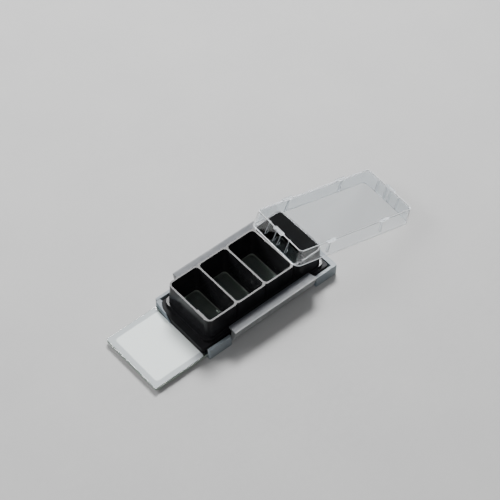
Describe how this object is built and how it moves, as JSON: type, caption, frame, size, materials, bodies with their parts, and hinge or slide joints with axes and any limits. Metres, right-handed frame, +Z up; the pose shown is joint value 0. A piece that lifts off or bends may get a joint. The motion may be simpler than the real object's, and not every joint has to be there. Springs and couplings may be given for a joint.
{
  "type": "chamber slide",
  "caption": "Chamber slide for growing cells: an open-topped well block clipped over a labelled glass slide in a tray frame, with a clear lid leaning on its rim.",
  "frame": {"origin": "on the table under the middle of the whole part's bounding box", "axes": "+X along the slide from its label end to the lid end, +Y across to the left clip, +Z up"},
  "size_m": [0.1146, 0.0326, 0.0208],
  "materials": {
    "glass": "polished",
    "label_paint": "matte",
    "silicone": "satin",
    "black_plastic": "gloss",
    "milky_plastic": "satin",
    "clip_plastic": "satin",
    "clear_plastic": "polished"
  },
  "bodies": {
    "frame": {"base_frame": "milky_plastic"},
    "slide": {"glass_slide": "glass", "label_coating": "label_paint"},
    "chamber": {"well_chamber": "black_plastic", "gasket": "silicone"},
    "clip_left": {"side_clip_left": "clip_plastic"},
    "clip_right": {"side_clip_right": "clip_plastic"},
    "lid": {"lid": "clear_plastic"}
  },
  "joints": [
    {"name": "slide_out", "type": "slide", "parent": "frame", "child": "slide", "axis": [-1, 0, 0], "range_m": [0, 0.08]},
    {"name": "chamber_lift", "type": "slide", "parent": "frame", "child": "chamber", "axis": [0, 0, 1], "range_m": [0, 0.03]},
    {"name": "lid_lift", "type": "slide", "parent": "chamber", "child": "lid", "axis": [0, 0, 1], "range_m": [0, 0.04]},
    {"name": "clip_left_hinge", "type": "hinge", "parent": "frame", "child": "clip_left", "pos_m": [-0.00864, 0.0138, 0.00245], "axis": [-1, 0, 0], "range_deg": [-6.5, 75]},
    {"name": "clip_right_hinge", "type": "hinge", "parent": "frame", "child": "clip_right", "pos_m": [-0.00864, -0.0138, 0.00245], "axis": [1, 0, 0], "range_deg": [-6.5, 75]}
  ]
}
